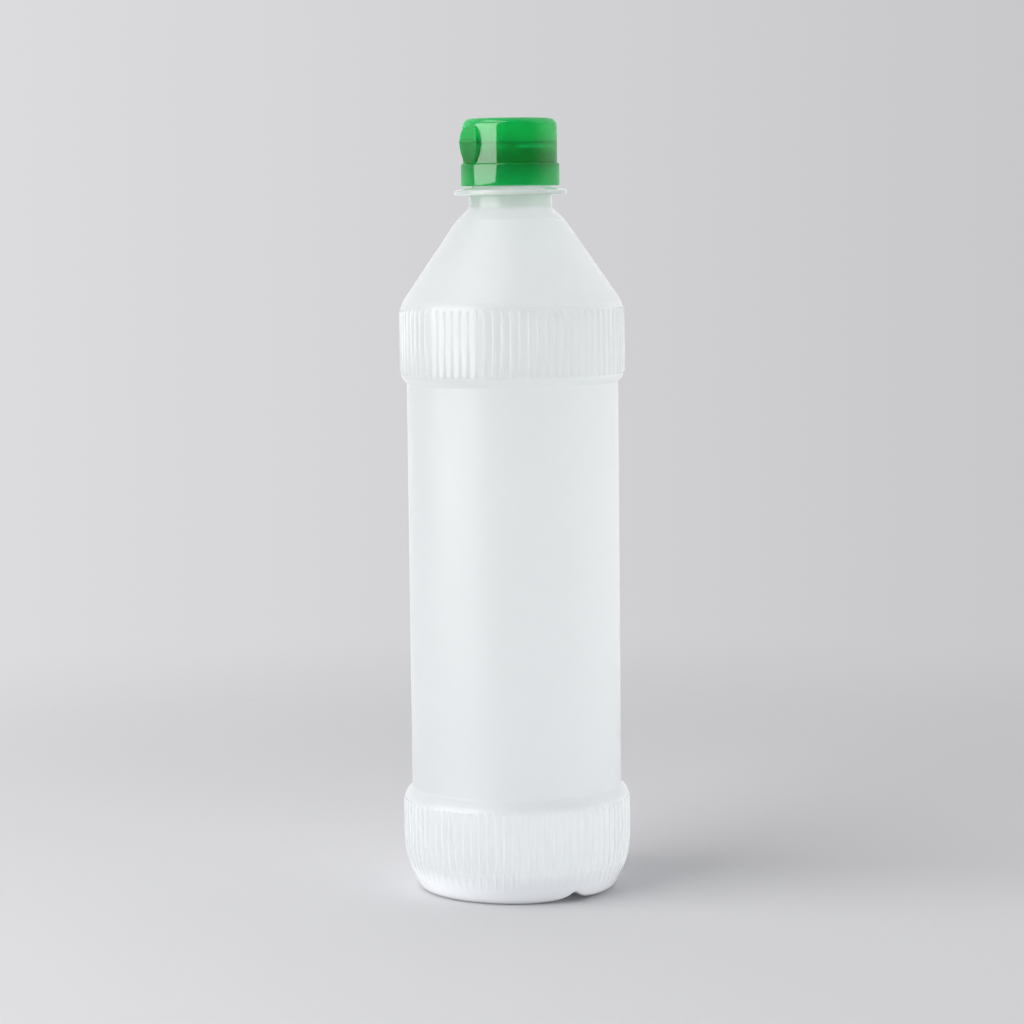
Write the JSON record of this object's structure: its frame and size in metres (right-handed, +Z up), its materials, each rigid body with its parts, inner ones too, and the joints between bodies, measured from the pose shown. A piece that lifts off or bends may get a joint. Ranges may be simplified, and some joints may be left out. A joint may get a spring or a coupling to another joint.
{
  "type": "cleaner bottle",
  "caption": "Tall round blown bottle of translucent plastic with a ribbed band at the foot and at the shoulder, a support ring at the neck and a green screw cap with a hinged flip-up lid.",
  "frame": {"origin": "on the table under the bottle's axis, at the centre of its foot", "axes": "+Z up along the bottle's axis, +Y towards the lid's hinge, X along the channel across the base"},
  "size_m": [0.0656, 0.0656, 0.2216],
  "materials": {
    "natural_polyethylene": "blown, milky translucent, with a fine blasted grain",
    "washer_foam": "cut from white polyethylene foam sheet",
    "green_polypropylene": "injection moulded, glossy, clear green"
  },
  "bodies": {
    "bottle": {"bottle": "natural_polyethylene"},
    "seal": {"seal_washer": "washer_foam"},
    "cap": {"cap_base": "green_polypropylene"},
    "lid": {"lid": "green_polypropylene"}
  },
  "joints": [
    {"name": "cap_lift", "type": "slide", "parent": "bottle", "child": "seal", "axis": [0, 0, 1], "range_m": [0, 0.00354]},
    {"name": "cap_turn", "type": "hinge", "parent": "seal", "child": "cap", "pos_m": [0, 0, 0.2128], "axis": [0, 0, 1], "range_deg": [0, 400]},
    {"name": "lid_flip", "type": "hinge", "parent": "cap", "child": "lid", "pos_m": [0, 0.0146, 0.215], "axis": [-1, 0, 0], "range_deg": [0, 170]}
  ],
  "couplings": [
    {"joint": "cap_lift", "follows": "cap_turn", "m_per_rad": 0.00050532}
  ]
}
